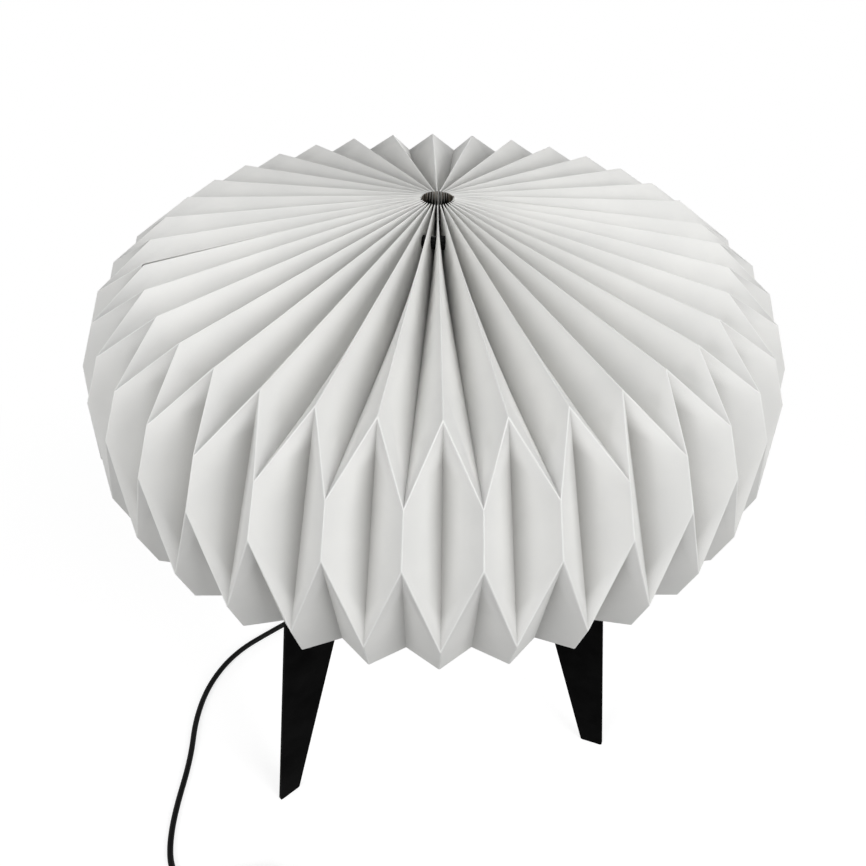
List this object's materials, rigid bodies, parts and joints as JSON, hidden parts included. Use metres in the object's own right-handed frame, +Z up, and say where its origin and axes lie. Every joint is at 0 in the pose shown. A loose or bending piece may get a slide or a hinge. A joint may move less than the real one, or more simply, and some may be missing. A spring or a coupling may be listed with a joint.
{
  "type": "pleated table lamp",
  "caption": "Table lamp with a folded paper drum shade on radial flat steel legs, an E27 bulb, and a lead with a rocker switch and a flat plug.",
  "frame": {"origin": "on the table, on the shade's axis, midway across the shade", "axes": "+Z up along the shade's axis, -Y the front as pictured, +X to its right"},
  "size_m": [0.4376, 0.4856, 0.4965],
  "materials": {
    "shade_paper": "matte folded paper",
    "leg_steel": "matte black powder coat",
    "bare_steel": "zinc plated",
    "black_rubber": "ribbed",
    "black_plastic": "moulded, satin",
    "cord_sleeve": "smooth black sleeve",
    "holder_ceramic": "unglazed",
    "brass": "plain",
    "live_insulation": "brown",
    "neutral_insulation": "blue",
    "bulb_opal": "opal white",
    "bulb_metal": "rolled",
    "bulb_glaze": "black glazed insulator",
    "bulb_inside": "white",
    "plug_metal": "nickel plated"
  },
  "bodies": {
    "stand": {"shade_spigot": "leg_steel", "leg_front_left": "leg_steel", "leg_front_right": "leg_steel", "leg_rear": "leg_steel", "hub_upper_disc": "leg_steel", "hub_lower_disc": "leg_steel", "top_hub": "leg_steel", "threaded_nipple": "bare_steel", "nipple_locknut": "bare_steel", "lampholder_cap": "black_plastic", "lampholder_shell": "black_plastic", "lampholder_insert": "holder_ceramic", "lampholder_thread": "brass", "lampholder_contact": "brass", "terminal_screws": "brass", "live_wire": "live_insulation", "neutral_wire": "neutral_insulation", "cord_in_lamp": "cord_sleeve", "cord_clips": "black_plastic", "cord_on_floor": "cord_sleeve", "switch_base": "black_plastic", "switch_cover": "black_plastic", "switch_screws": "bare_steel", "switch_blades": "brass", "cord_coil": "cord_sleeve", "coil_tie": "black_plastic", "plug_body": "black_plastic", "plug_pins": "plug_metal"},
    "shade": {"shade_front_sheet": "shade_paper", "shade_rear_sheet": "shade_paper", "pleat_pin": "black_plastic", "gathering_collar": "black_rubber"},
    "bulb_lift": {"bulb_contact": "bulb_metal"},
    "bulb": {"bulb_glass": "bulb_opal", "bulb_cap": "bulb_metal", "bulb_insulator": "bulb_glaze", "bulb_led_post": "bulb_inside"},
    "rocker": {"switch_rocker": "black_plastic"}
  },
  "joints": [
    {"name": "shade_lift", "type": "slide", "parent": "stand", "child": "shade", "axis": [0, 0, 1], "range_m": [0, 0.14]},
    {"name": "bulb_rise", "type": "slide", "parent": "stand", "child": "bulb_lift", "axis": [0, 0, 1], "range_m": [0, 0.01816]},
    {"name": "bulb_screw", "type": "hinge", "parent": "bulb_lift", "child": "bulb", "pos_m": [0, 0, 0.36], "axis": [0, 0, 1], "range_deg": [0, 1800]},
    {"name": "switch_press", "type": "hinge", "parent": "stand", "child": "rocker", "pos_m": [-0.13, -0.19, 0.0118], "axis": [0, 1, 0], "range_deg": [0, 20]}
  ],
  "couplings": [
    {"joint": "bulb_rise", "follows": "bulb_screw", "m_per_rad": 0.00057757}
  ]
}
